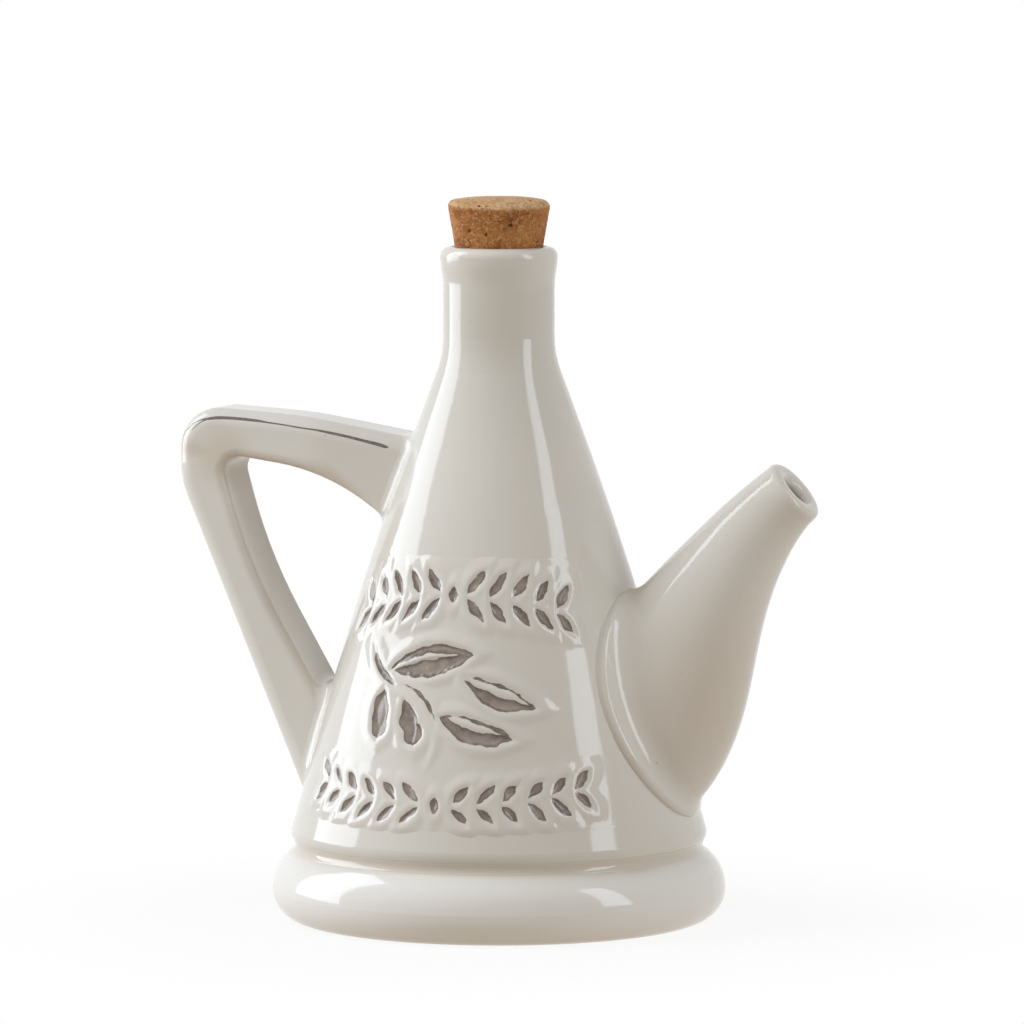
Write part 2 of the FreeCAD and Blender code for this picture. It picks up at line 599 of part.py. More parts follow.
def punch(body, name, sketch):
    """Pads a sketch of blades out through the front of the cone."""
    pad = body.newObject("PartDesign::Pad", name)
    pad.Profile = sketch
    pad.Length = size("belly_radius")
    pad.setExpression("Length", bound("belly_radius"))


def row_sketch(body, row, place):
    """Sketch that faces one place of a row of leaves, counted from the front."""
    side = "left" if place < 0 else "right"
    sketch = new_sketch(body, f"{row}_{side}_{abs(place)}", "XZ_Plane")
    turn = place * size(f"{row}_step")
    height = size(f"{row}_height") - size(f"{row}_drop") * turn ** 2
    facing = FreeCAD.Rotation(FreeCAD.Vector(0, 1, 0), turn)
    sketch.AttachmentOffset = FreeCAD.Placement(FreeCAD.Vector(0, height, 0), facing)
    if place:
        turned = f"{place} * {bound(row + '_step')}"
        raised = f"{bound(row + '_height')} - {bound(row + '_drop')} * ({turned})^2"
        sketch.setExpression(".AttachmentOffset.Rotation.Angle", turned)
        sketch.setExpression(".AttachmentOffset.Base.y", raised)
    else:
        sketch.setExpression(".AttachmentOffset.Base.y", bound(row + "_height"))
    return sketch


def make_relief():
    """Tool for the decoration: leaf-shaped punches that stop a little way under the cone's surface."""
    body = doc.addObject("PartDesign::Body", "ReliefBody")
    sprig = new_sketch(body, "Sprig", "XZ_Plane")
    for blade, *_ in SPRIG_BLADES:
        draw_blade(sprig, *(f"{blade}_{part}" for part in BLADE_PARTS))
    punch(body, "SprigPunch", sprig)
    for row, pairs in ROW_PAIRS:
        for place in range(-pairs, pairs + 1):
            sketch = row_sketch(body, row, place)
            bulge = f"{row}_bulge"
            if place == 0:
                bead = f"{row}_bead"
                draw_blade(sketch, None, "-" + bead, None, bead, bulge, bulge)
            else:
                way = "-" if place < 0 else ""
                across = [f"{way}{row}_root_across", f"{way}{row}_tip_across"]
                for up in ("", "-"):
                    root, tip = f"{up}{row}_root_up", f"{up}{row}_tip_up"
                    draw_blade(sketch, across[0], root, across[1], tip, bulge, bulge)
            punch(body, sketch.Name + "_punch", sketch)
    revolve(body, "ReliefFloor", RELIEF_FLOOR_OUTLINE, "PartDesign::Groove")
    return body


def tip_edges(outer):
    """Test for the edges on the tip's cut: its outer edge, or the edge of its bore."""
    tilt = math.radians(size("spout_tip_tilt"))
    center = FreeCAD.Vector(size("spout_tip_x"), 0, size("spout_tip_z"))
    out = FreeCAD.Vector(math.sin(tilt), 0, math.cos(tilt))
    between = (size("spout_bore") + size("spout_tip_width")) / 4

    def chosen(edge):
        away = middle_of(edge) - center
        return abs(away.dot(out)) < TOUCH and (away.Length > between) == outer

    return chosen


def make_ceramic_body():
    """The one-piece casting."""
    body = doc.addObject("PartDesign::Body", "CeramicBody")
    body.Label = "ceramic_body"
    revolve(body, "Wall", WALL_OUTLINE)
    doc.recompute()
    wall_skin = body.Tip.Shape.Shells[0]
    handle, collar, spout = make_handle(), make_collar(), make_spout()
    joined = body.newObject("PartDesign::Boolean", "AppliedPieces")
    joined.setObjects([handle, collar, spout])
    joined.Type = "Fuse"
    doc.recompute()
    spout_foot = [collar.Tip.Shape.Shells[0], spout.Tip.Shape.Shells[0]]
    handle_ends = [handle.Tip.Shape.Shells[0], wall_skin]
    round_edges(body, "SpoutRootRounding", "spout_root_round", lambda edge: rides_on(spout_foot, edge))
    round_edges(body, "HandleRootRounding", "handle_root_round", lambda edge: rides_on(handle_ends, edge))
    revolve(body, "Cavity", CAVITY_OUTLINE, "PartDesign::Groove")
    loft(body, "Channel", channel_sections(body), "PartDesign::SubtractiveLoft")
    round_edges(body, "RimRounding", "spout_rim_round", tip_edges(outer=True))
    round_edges(body, "BoreRounding", "spout_bore_round", tip_edges(outer=False))
    pressed = body.newObject("PartDesign::Boolean", "Decoration")
    pressed.setObjects([make_relief()])
    pressed.Type = "Cut"
    return body


def make_cork():
    """Tapered stopper with a low domed top."""
    body = doc.addObject("PartDesign::Body", "CorkBody")
    body.Label = "cork_stopper"
    revolve(body, "Cork", CORK_OUTLINE)
    return body


def check(bodies):
    """Stops if a feature failed, or if a piece is not one sound solid."""
    doc.recompute()
    failed = [obj.Name for obj in doc.Objects if {"Invalid", "Error"} & set(obj.State)]
    if failed:
        raise RuntimeError(f"features that failed: {failed}")
    for body in bodies:
        if body.Shape.isNull() or not body.Shape.isValid() or len(body.Shape.Solids) != 1:
            raise RuntimeError(f"{body.Label} is not one sound solid")


pieces = [make_ceramic_body(), make_cork()]
check(pieces)
os.makedirs("parts", exist_ok=True)
for piece in pieces:
    piece.Shape.exportStep(f"parts/{piece.Label}.step")
    print(piece.Label, f"{piece.Shape.Volume:.0f} mm3")
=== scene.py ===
# %% [markdown]
# # Olive oil pourer
# A glazed ceramic pourer with a cork stopper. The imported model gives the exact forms: it is
# loaded first and never moved. This lesson adds what a drawing can't hold: the glaze that gathers
# in the groove and the mouth, its soft relief and grey stain, the line along the handle, and a
# cork that looks like cork. All lengths here are in millimetres, unless a name says otherwise.

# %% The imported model
import math

import bpy
import numpy as np
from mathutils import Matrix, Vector
from mathutils import noise as solid_noise


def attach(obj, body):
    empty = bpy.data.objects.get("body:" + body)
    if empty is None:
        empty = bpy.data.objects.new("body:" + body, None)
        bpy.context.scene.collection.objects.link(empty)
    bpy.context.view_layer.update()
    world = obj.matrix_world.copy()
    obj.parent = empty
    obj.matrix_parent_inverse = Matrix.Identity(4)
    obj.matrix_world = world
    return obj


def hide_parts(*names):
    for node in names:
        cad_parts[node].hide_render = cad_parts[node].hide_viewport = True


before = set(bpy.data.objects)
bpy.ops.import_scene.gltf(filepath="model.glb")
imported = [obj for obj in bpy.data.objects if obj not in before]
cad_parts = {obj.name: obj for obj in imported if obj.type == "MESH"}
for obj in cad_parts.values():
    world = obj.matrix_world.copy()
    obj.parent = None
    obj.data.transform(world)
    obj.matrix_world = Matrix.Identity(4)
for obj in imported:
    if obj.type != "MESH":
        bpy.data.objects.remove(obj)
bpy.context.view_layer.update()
body_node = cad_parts["ceramic_body"]

# %% [markdown]
# ## The camera first
# The photograph was taken from about two metres with a long lens, a little above the pourer and
# 19 degrees round towards the spout. The pourer's axis lies 13 pixels left of the middle, which
# the camera's shift gives without turning the view.

# %% Camera, in metres
CAMERA_TURN = math.radians(19)
CAMERA_AWAY = 2.0
CAMERA_HEIGHT = 0.283
AIM = Vector((0, 0, 0.1043))
SENSOR_MM = 36
PICTURE = 1024
AXIS_PIXEL = 499
METRES_PER_PIXEL = 0.000255

spot = Vector((CAMERA_AWAY * math.sin(CAMERA_TURN), -CAMERA_AWAY * math.cos(CAMERA_TURN), CAMERA_HEIGHT))
camera_data = bpy.data.cameras.new("camera")
camera_data.sensor_width = SENSOR_MM
camera_data.lens = SENSOR_MM * (AIM - spot).length / (METRES_PER_PIXEL * PICTURE)
camera_data.shift_x = (PICTURE / 2 - AXIS_PIXEL) / PICTURE
camera_data.clip_end = 20
camera = bpy.data.objects.new("camera", camera_data)
camera.location = spot
camera.rotation_euler = (AIM - spot).to_track_quat("-Z", "Y").to_euler()
bpy.context.collection.objects.link(camera)
bpy.context.scene.camera = camera
print("lens in mm:", round(camera_data.lens, 1))

# %% [markdown]
# ## The cone, as a formula
# The decoration follows the cone, so its radius is needed at every height: two straight slopes
# that a long arc joins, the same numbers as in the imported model.

# %% Outline of the body
FOOT_RADIUS, FOOT_HEIGHT = 58.0, 13.6
GROOVE_RADIUS, GROOVE_HEIGHT = 51.5, 19.1
BELLY_RADIUS, BELLY_HEIGHT = 53.4, 22.1
WAIST_RADIUS, WAIST_HEIGHT = 33.65, 92.1
NECK_RADIUS, NECK_HEIGHT = 14.2, 144.8
WAIST_ROUND = 1000.0
LOWER_SLOPE = (BELLY_RADIUS - WAIST_RADIUS) / (WAIST_HEIGHT - BELLY_HEIGHT)
UPPER_SLOPE = (WAIST_RADIUS - NECK_RADIUS) / (NECK_HEIGHT - WAIST_HEIGHT)


def cone_radius(height):
    """Outer radius of the cone at a height."""
    slope = np.where(height < WAIST_HEIGHT, LOWER_SLOPE, UPPER_SLOPE)
    sharp = WAIST_RADIUS + (WAIST_HEIGHT - height) * slope
    turn = math.atan(UPPER_SLOPE) - math.atan(LOWER_SLOPE)
    reach = WAIST_ROUND * math.tan(turn / 2)
    steepness = np.sqrt(1 + slope ** 2)
    past_tangent = np.maximum(reach - np.abs(height - WAIST_HEIGHT) * steepness, 0)
    return sharp - past_tangent ** 2 / (2 * WAIST_ROUND) * steepness


print("radius at the middle of the sprig:", round(float(cone_radius(np.array(60.0))), 2), "mm")

# %% [markdown]
# ## The pressed decoration
# On the real pourer the decoration comes from the mould: each leaf is a shallow pit with a soft
# raised rim, and grey stain is wiped into the pits before glazing. Sharp pits are in the packed
# model. Here a fine skin is laid over the front of the cone, and its points go in and out by how
# far each is from the nearest leaf. A painted picture could do this too, but here a leaf is just
# a few numbers: its two ends, and how far each of its sides bows out.

# %% Sprig, seen from the front
SPRIG = {
    # from across and up, to across and up, bow to the left and to the right of the way
    "upper_leaf": (-15.8, 67.3, 6.6, 71.8, 4.6, 3.2),
    "middle_leaf": (4.8, 66.4, 22.6, 58.8, 1.9, 3.9),
    "lower_leaf": (-0.8, 56.8, 18.4, 51.3, 1.9, 4.1),
    "twig": (-21.7, 72.7, -12.8, 63.0, -0.7, 2.3),
    "stalk": (-10.5, 63.3, -2.2, 55.6, 1.7, -0.9),
    "left_olive": (-17.2, 62.4, -17.8, 50.2, 2.4, 2.6),
    "right_olive": (-10.8, 60.4, -7.2, 49.0, 2.5, 2.4),
}
VEINS = {
    "upper_leaf": (-13.4, 68.3, 2.8, 71.7, 2.5, -1.3),
    "middle_leaf": (7.2, 65.3, 19.4, 60.2, 0.5, 0.9),
    "lower_leaf": (1.9, 56.2, 14.8, 52.4, 0.5, 0.9),
}
print("leaves, stems and olives:", len(SPRIG))

# %% Where the stain differs from the mould
# It leaves broader veins bare, fills the olives down to round ends, and covers a wider stalk
WIPED_VEINS = {
    "upper_leaf": (-15.1, 67.3, 3.1, 71.5, 2.1, -0.55),
    "middle_leaf": (3.6, 66.7, 20.4, 59.9, 1.0, 0.9),
    "lower_leaf": (0.6, 56.7, 16.4, 52.1, 1.0, 0.9),
}
OLIVE_ENDS = ((-17.6, 53.3, 2.5), (-7.7, 52.2, 2.9))  # across, up, radius
STAINED_STALK = (-11.2, 64.0, -1.6, 55.4, 2.2, -0.9)
print("round ends of olives:", len(OLIVE_ENDS))

# %% Rows of leaf pairs, with a bead in the middle of each
# height, drop for the square of the turn, step, root across, root up, tip across, tip up, bow, bead
UPPER_ROW = (86.3, 0.0019, 9.2, -1.9, 0.7, 2.3, 6.2, 1.15, 2.2)
LOWER_ROW = (34.8, -0.0018, 7.4, -2.0, 0.6, 2.4, 4.8, 1.05, 2.2)
PAIRS = {UPPER_ROW: 5, LOWER_ROW: 6}
print("pairs on each side of a bead:", list(PAIRS.values()))

# %% [markdown]
# Two arcs make a leaf. A point is inside the leaf where it lies inside both circles, and the
# larger of the two distances says how far it is from the edge.

# %% Distance to one leaf
def arc_distance(across, up, start, end, bow, right_side):
    """How far points lie outside the arc that bows out to the left of the way from start to end."""
    chord = end - start
    length = np.hypot(*chord)
    left = np.array([-chord[1], chord[0]]) / length
    radius = (length ** 2 / 4 + bow ** 2) / (2 * abs(bow))
    center = (start + end) / 2 + left * (bow - math.copysign(radius, bow))
    away = np.hypot(across - center[0], up - center[1]) - radius
    return away if (bow > 0) == right_side else -away


def leaf_distance(across, up, leaf):
    """Distance to a leaf's edge, negative inside it."""
    start, end = np.array(leaf[:2]), np.array(leaf[2:4])
    over = arc_distance(across, up, start, end, leaf[4], True)
    under = arc_distance(across, up, start, end, -leaf[5], False)
    return np.maximum(over, under)


print("inside the lower leaf:", round(float(leaf_distance(9.0, 53.0, SPRIG["lower_leaf"])), 2), "mm")


# %% Distance to the whole decoration
def sprig_distance(across, up, veins):
    """Distance to the nearest edge of the sprig, with the given veins left out of its leaves."""
    nearest = np.full(across.shape, 1e3)
    for name, leaf in SPRIG.items():
        distance = leaf_distance(across, up, leaf)
        if name in veins:
            distance = np.maximum(distance, -leaf_distance(across, up, veins[name]))
        nearest = np.minimum(nearest, distance)
    return nearest


def row_distance(turn, height, row, pairs):
    """Distance to the nearest edge of a row of leaves."""
    middle, drop, step, root_across, root_up, tip_across, tip_up, bow, bead = row
    nearest = np.full(turn.shape, 1e3)
    for place in range(-pairs, pairs + 1):
        up = height - middle + drop * (place * step) ** 2
        across = cone_radius(height) * np.sin(np.radians(turn - place * step))
        if place == 0:
            distance = leaf_distance(across, up, (0, -bead, 0, bead, bow, bow))
        else:
            leaf = (root_across, root_up, tip_across, tip_up, bow, bow)
            distance = leaf_distance(across * np.sign(place), np.abs(up), leaf)
        nearest = np.minimum(nearest, distance)
    return nearest


def decoration_distance(turn, height, veins):
    """Distance to the nearest edge of sprig and rows, for points by turn in degrees and height."""
    nearest = sprig_distance(cone_radius(height) * np.sin(np.radians(turn)), height, veins)
    for row, pairs in PAIRS.items():
        nearest = np.minimum(nearest, row_distance(turn, height, row, pairs))
    return nearest


bead_middle = float(decoration_distance(np.zeros(1), np.full(1, UPPER_ROW[0]), VEINS)[0])
print("inside the upper bead:", round(bead_middle, 2), "mm")

# %% [markdown]
# ## The skin over the front
# A grid is added flat, as fine as the relief needs, and its points are rolled onto the cone. The
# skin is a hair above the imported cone, and along its border it dips under it, so no edge shows.
# An operator acts on all that is selected, so everything is deselected before each new piece.

# %% A flat grid
MM = 0.001
SKIN_TURN = 62.0  # degrees to each side
SKIN_LOW, SKIN_HIGH = 26.5, 97.5
COLUMNS, ROWS = ((390, 240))


def deselect_all():
    """Leaves nothing selected and no object in edit mode."""
    if bpy.context.object and bpy.context.object.mode != "OBJECT":
        bpy.ops.object.mode_set(mode="OBJECT")
    bpy.ops.object.select_all(action="DESELECT")


deselect_all()
bpy.ops.mesh.primitive_grid_add(x_subdivisions=COLUMNS, y_subdivisions=ROWS, size=2)
skin = bpy.context.object
skin.name = skin.data.name = "decorated_front"
flat = np.empty(len(skin.data.vertices) * 3)
skin.data.vertices.foreach_get("co", flat)
flat = flat.reshape(-1, 3)
turn = flat[:, 0] * SKIN_TURN
height = SKIN_LOW + (flat[:, 1] + 1) / 2 * (SKIN_HIGH - SKIN_LOW)
print("skin:", len(flat), "points")

# %% Distances, a little uneven
MM_PER_DEGREE = 0.7
WOBBLE, WOBBLE_TURN = 0.35, 0.4375  # up or down in mm, to a side in degrees
spots = np.stack([turn * MM_PER_DEGREE, height, np.zeros(len(flat))], 1)


def unevenness(coarse, fine, fine_share, coarse_shift=0.0, fine_shift=0.0):
    """Noise at each point of the skin: coarse waves, and some fine ones added."""
    return np.array([
        solid_noise.noise(Vector(point * coarse + coarse_shift))
        + fine_share * solid_noise.noise(Vector(point * fine + fine_shift))
        for point in spots
    ])


turned = turn + WOBBLE_TURN * unevenness(0.3, 0.9, 0.4)
raised = height + WOBBLE * unevenness(0.3, 0.9, 0.4, 9.7, 4.1)
across = cone_radius(raised) * np.sin(np.radians(turned))
mould_edge = decoration_distance(turned, raised, VEINS)
rim_edge = decoration_distance(turned, raised, WIPED_VEINS)
for middle, up, radius in OLIVE_ENDS:
    rim_edge = np.minimum(rim_edge, np.hypot(across - middle, raised - up) - radius)
stain_edge = np.minimum(rim_edge, leaf_distance(across, raised, STAINED_STALK))
print("share of the skin that is pressed:", round(float((mould_edge < 0).mean()), 3))

# %% [markdown]
# The rims are blurred a little, as a thick glaze does, by taking the mean of each point and its
# four neighbours a few times over.

# %% Relief
SKIN_LIFT = 0.05
RIM_HEIGHT, RIM_WIDTH, RIM_BLUR = 0.55, 4.0, 8
PIT_DEPTH, PIT_INSET = 0.35, 0.21
BORDER_SINK, BORDER_WIDTH = 0.35, 3.0
HALF_SKIN_HEIGHT = 35.0  # rounded


def smooth_step(value, low, high):
    """0 up to low, 1 from high on, and a soft change between."""
    share = np.clip((value - low) / (high - low), 0, 1)
    return share * share * (3 - 2 * share)


rim = RIM_HEIGHT * smooth_step(rim_edge, -0.6, 1.0) * (1 - smooth_step(rim_edge, 0.8, RIM_WIDTH))
for _ in range(RIM_BLUR):
    field = np.pad(rim.reshape(ROWS + 1, COLUMNS + 1), 1, mode="edge")
    sides = field[:-2, 1:-1] + field[2:, 1:-1] + field[1:-1, :-2] + field[1:-1, 2:]
    rim = ((field[1:-1, 1:-1] * 4 + sides) / 8).ravel()
pit = PIT_DEPTH * (1 - smooth_step(mould_edge + PIT_INSET, -1.0, 0.0))
to_side = (1 - np.abs(flat[:, 0])) * SKIN_TURN * MM_PER_DEGREE
to_end = (1 - np.abs(flat[:, 1])) * HALF_SKIN_HEIGHT
sink = BORDER_SINK * (1 - smooth_step(np.minimum(to_side, to_end), 0.0, BORDER_WIDTH))
print("highest rim", round(float(rim.max()), 2), "mm, deepest pit", round(float(pit.max()), 2), "mm")


# %% Rolled onto the cone
def turn_outwards(piece, outwards):
    """Flips a piece whose faces look inwards; outwards gives the way out at a face."""
    if sum(face.normal.dot(outwards(face)) for face in piece.data.polygons) < 0:
        piece.data.flip_normals()


def from_axis(face):
    """The way from the pourer's axis to a face."""
    return Vector((face.center.x, face.center.y, 0))


reach = cone_radius(height) + SKIN_LIFT + rim - pit - sink
angle = np.radians(turn)
rolled = np.stack([reach * np.sin(angle), -reach * np.cos(angle), height], 1) * MM
skin.data.vertices.foreach_set("co", rolled.ravel())
skin.data.update()
bpy.ops.object.shade_smooth()
turn_outwards(skin, from_axis)
print("skin rolled, from radius", round(float(reach.min()), 1), "to", round(float(reach.max()), 1), "mm")

# %% [markdown]
# Two numbers are kept at each point for the glaze to read: how much stain lies there, and how
# close to its edge it is, because wiped stain gathers at an edge. A sponge leaves it a bit torn.

# %% Stain on the skin
TORN = 0.6
torn_edge = stain_edge + TORN * unevenness(0.33, 0.9, 0.2, 3.3)
stain = skin.data.attributes.new("stain", "FLOAT", "POINT")
stain.data.foreach_set("value", 1 - smooth_step(torn_edge, -0.35, 0.35))
pool = skin.data.attributes.new("pool", "FLOAT", "POINT")
pool.data.foreach_set("value", smooth_step(torn_edge, -0.9, -0.1))
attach(skin, "pourer")
print("share of the skin that is stained:", round(float((torn_edge < 0).mean()), 3))

# %% [markdown]
# ## Glaze
# The glaze is creamy white and as smooth as glass, with the faint waves that a dipped glaze keeps. Painted
# shade turns it tan in the groove, at the foot's bottom edge, along the handle's underside and on the spout's
# belly, and a little darker on the neck; painted light makes it whiter on the foot and the handle. One function
# makes it, so that the body and the skin get the very same finish, and it finds its places by their numbers on
# the object. An unwrapped picture could do that too, but it would need a file and seams.
# A material is made of nodes: one helper adds a node, sets its inputs and links it in one line.

# %% Helpers for nodes
def add_node(material, kind, inputs=None, **settings):
    """Adds a shader node. A value in inputs is a plain number or colour, or another node's output."""
    made = material.node_tree.nodes.new(kind)
    for name, value in settings.items():
        setattr(made, name, value)
    for name, value in (inputs or {}).items():
        if isinstance(value, bpy.types.NodeSocket):
            material.node_tree.links.new(value, made.inputs[name])
        else:
            made.inputs[name].default_value = value
    return made


def new_material(name):
    """Empty node material, and the object's coordinates in it."""
    material = bpy.data.materials.new(name)
    material.use_nodes = True
    material.node_tree.nodes.clear()
    return material, add_node(material, "ShaderNodeTexCoord").outputs["Object"]


def add_surface(material, inputs):
    """Adds the shader that gives the surface its colour and gloss, and the output."""
    shader = add_node(material, "ShaderNodeBsdfPrincipled", inputs)
    add_node(material, "ShaderNodeOutputMaterial", {"Surface": shader.outputs["BSDF"]})


def math_node(material, operation, *values, clamp=False):
    """Output of a Math node."""
    inputs = dict(enumerate(values))
    return add_node(material, "ShaderNodeMath", inputs, operation=operation, use_clamp=clamp).outputs[0]


def marked(material, name):
    """The number that the mesh keeps under this name at each point."""
    return add_node(material, "ShaderNodeAttribute", attribute_name=name).outputs["Fac"]


print("made helpers:", [helper.__name__ for helper in (add_node, new_material, add_surface, math_node, marked)])


# %% Helpers for patterns and masks
def noise(material, place, scale, detail=3.0, roughness=0.5):
    """Soft noise from 0 to 1; the scale counts its waves in a metre."""
    made = add_node(material, "ShaderNodeTexNoise",
                    {"Vector": place, "Scale": scale, "Detail": detail, "Roughness": roughness})
    return made.outputs["Fac"]


def smooth_range(material, value, low, high, to_low=0.0, to_high=1.0):
    """Takes a value from one range to another, with soft ends."""
    made = add_node(material, "ShaderNodeMapRange",
                    {"Value": value, "From Min": low, "From Max": high, "To Min": to_low, "To Max": to_high},
                    interpolation_type="SMOOTHSTEP")
    return made.outputs["Result"]


def rise(material, length, low, high):
    """0 up to a length in millimetres, 1 from a greater one on."""
    return smooth_range(material, length, low * MM, high * MM)


def fade(material, length, near, far, share=1.0):
    """The share up to a length in millimetres, nothing from a greater one on."""
    return smooth_range(material, length, near * MM, far * MM, share, 0.0)


print("a noise of scale 45 has waves of", round(1 / 45 / MM), "mm")


# %% Helpers for colours
def colour(red, green, blue):
    """Display colour from 0 to 255, turned into the linear numbers that nodes use."""
    shares = [channel / 255 for channel in (red, green, blue)]
    return (*[s / 12.92 if s <= 0.04045 else ((s + 0.055) / 1.055) ** 2.4 for s in shares], 1.0)


def mix_colours(material, share, first, second):
    """The first colour where the share is 0, the second where it is 1."""
    made = add_node(material, "ShaderNodeMix", {"Factor": share}, data_type="RGBA")
    for name, value in (("A", first), ("B", second)):
        socket = next(s for s in made.inputs if s.name == name and s.type == "RGBA")
        if isinstance(value, bpy.types.NodeSocket):
            material.node_tree.links.new(value, socket)
        else:
            socket.default_value = value
    return next(s for s in made.outputs if s.type == "RGBA")


print("a display value of 128 is", round(colour(128, 128, 128)[0], 3), "in a node")

# %% Colours of glaze and stain
GLAZE_WHITE = colour(221, 217, 208)
GLAZE_WARM = colour(214, 208, 197)
# Painted shade: tan for the groove, the foot's bottom edge, the handle's underside and the spout's belly.
SHADE_TAN = colour(203, 187, 165)
# Painted light: a whiter glaze for the foot and the handle.
PAINTED_LIGHT_WHITE = colour(236, 234, 228)
# Painted shade: a slightly darker glaze for the neck.
NECK_SHADE = colour(213, 209, 199)
STAIN_GREY = colour(90, 78, 69)
STAIN_PALE = colour(152, 138, 126)
STAIN_GRAIN = colour(166, 152, 139)
print("the glaze gives back", round(GLAZE_WHITE[1], 2), "of green light")

# %% Where painted shade turns the glaze tan
CROWN_LINE = (-0.147, 107.5)  # over the finger gap: slope, and height at the axis
CONE_LINE = (-0.749, 81.6)  # the gap's side along the cone, likewise
GAP_CORNER = (-71.0, 117.0)
SPOUT_BELLY = (66.0, -6.0, 60.0)


def painted_shade_at_gap(material, xyz):
    """Share of painted shade, 1 along the handle's underside and in the corner of the finger gap."""
    lines = [math_node(material, "MULTIPLY_ADD", xyz["X"], slope, at_axis * MM)
             for slope, at_axis in (CROWN_LINE, CONE_LINE)]
    above = math_node(material, "SUBTRACT", xyz["Z"], math_node(material, "MINIMUM", *lines))
    underside = fade(material, math_node(material, "ABSOLUTE", above), 0.0, 4.0)
    corner = add_node(material, "ShaderNodeCombineXYZ", {
        axis: math_node(material, "SUBTRACT", xyz[axis], middle * MM) for axis, middle in zip("XZ", GAP_CORNER)
    }).outputs["Vector"]
    from_corner = add_node(material, "ShaderNodeVectorMath", {0: corner}, operation="LENGTH").outputs["Value"]
    gap = math_node(material, "MAXIMUM", fade(material, from_corner, 2.0, 11.0), underside)
    return math_node(material, "MULTIPLY", gap, fade(material, xyz["X"], -36.0, -30.0))


def painted_shade_tan(material, place, xyz):
    """Share of painted shade: 1 in the groove, at the foot's edge and at the gap, and a little less on the
    spout's belly.
    """
    from_groove = math_node(material, "SUBTRACT", xyz["Z"], GROOVE_HEIGHT * MM)
    from_belly = add_node(material, "ShaderNodeVectorMath", {0: place, 1: [side * MM for side in SPOUT_BELLY]},
                          operation="DISTANCE").outputs["Value"]
    shaded = painted_shade_at_gap(material, xyz)
    for mask in (
        fade(material, from_belly, 6.0, 36.0, 0.85),
        fade(material, math_node(material, "ABSOLUTE", from_groove), 0.4, 2.2),
        fade(material, xyz["Z"], 0.3, 3.0),
    ):
        shaded = math_node(material, "MAXIMUM", shaded, mask)
    return shaded


# Painted shade: the spout's belly is painted tan.
print("the glaze also runs thin round", SPOUT_BELLY, "on the spout")


# %% The bare glaze
def glaze_colour(material, place):
    """Colour of the glaze, with soft clouds and a few specks."""
    xyz = add_node(material, "ShaderNodeSeparateXYZ", {"Vector": place}).outputs
    clouds = smooth_range(material, noise(material, place, 22.0), 0.4, 0.75, 0.0, 0.6)
    # Painted light: the foot, and a little of the handle, are painted whiter.
    painted_light_foot = fade(material, xyz["Z"], 14.0, 20.0)
    painted_light_handle = fade(material, xyz["X"], -52.0, -42.0, 0.4)
    # Painted shade: the neck is painted a little darker.
    painted_shade_neck = math_node(material, "MULTIPLY", rise(material, xyz["Z"], 115.0, 145.0),
                        fade(material, xyz["Z"], 160.0, 166.0))
    # Painted shade: half of its share turns the glaze tan in the groove, at the foot's edge, under the handle
    # and on the spout's belly.
    shaded = math_node(material, "MULTIPLY", painted_shade_tan(material, place, xyz), 0.5)
    specks = smooth_range(material, noise(material, place, 700.0, detail=1.0), 0.80, 0.84, 0.0, 0.35)
    coat = GLAZE_WHITE
    for share, other in (
        (clouds, GLAZE_WARM), (painted_light_foot, PAINTED_LIGHT_WHITE), (painted_light_handle, PAINTED_LIGHT_WHITE),
        (painted_shade_neck, NECK_SHADE), (shaded, SHADE_TAN), (specks, STAIN_PALE),
    ):
        coat = mix_colours(material, share, coat, other)
    return coat


# The tan of the painted shade.
print("bare glaze, where thin:", [round(c, 2) for c in SHADE_TAN[:3]])


# %% Glaze over stain
def over_stain(material, place, coat):
    """Colour of glaze with stain wiped in under it: ragged, worn in places, darker along its edge."""
    ragged = math_node(material, "MULTIPLY_ADD", noise(material, place, 900.0), 0.3, -0.15)
    inked = smooth_range(material, math_node(material, "ADD", marked(material, "stain"), ragged), 0.36, 0.64)
    washed = noise(material, place, 230.0, detail=4.0, roughness=0.6)
    worn = smooth_range(material, washed, 0.6, 0.78, 0.97, 0.5)
    shade = math_node(material, "MULTIPLY_ADD", marked(material, "pool"), -0.22, washed)
    grey = mix_colours(material, smooth_range(material, shade, 0.22, 0.6), STAIN_GREY, STAIN_PALE)
    grain = smooth_range(material, noise(material, place, 3200.0, detail=2.0), 0.35, 0.65, 0.0, 0.3)
    grey = mix_colours(material, grain, grey, STAIN_GRAIN)
    return mix_colours(material, math_node(material, "MULTIPLY", inked, worn), coat, grey)


print("stain, where darkest:", [round(c, 2) for c in STAIN_GREY[:3]])

# %% Glaze materials
WAVE_DEPTH = 0.22
PINHOLE_SHARE = 0.03


def make_glaze(name, stained):
    """Glossy glaze with faint waves and pinholes, over stain or not."""
    material, place = new_material(name)
    coat = glaze_colour(material, place)
    if stained:
        coat = over_stain(material, place, coat)
    waves = noise(material, place, 45.0, detail=1.0)
    pinholes = math_node(material, "MULTIPLY", noise(material, place, 420.0, detail=2.0), PINHOLE_SHARE)
    relief = math_node(material, "ADD", waves, pinholes)
    bump = add_node(material, "ShaderNodeBump",
                    {"Height": relief, "Strength": 1.0, "Distance": WAVE_DEPTH * MM}).outputs["Normal"]
    add_surface(material, {"Base Color": coat, "Roughness": 0.09, "IOR": 1.48, "Normal": bump})
    return material


glaze = make_glaze("glaze", stained=False)
body_node.data.materials.clear()
body_node.data.materials.append(glaze)
skin.data.materials.append(make_glaze("glaze_with_stain", stained=True))
print("glaze on", body_node.name, "and", skin.name)

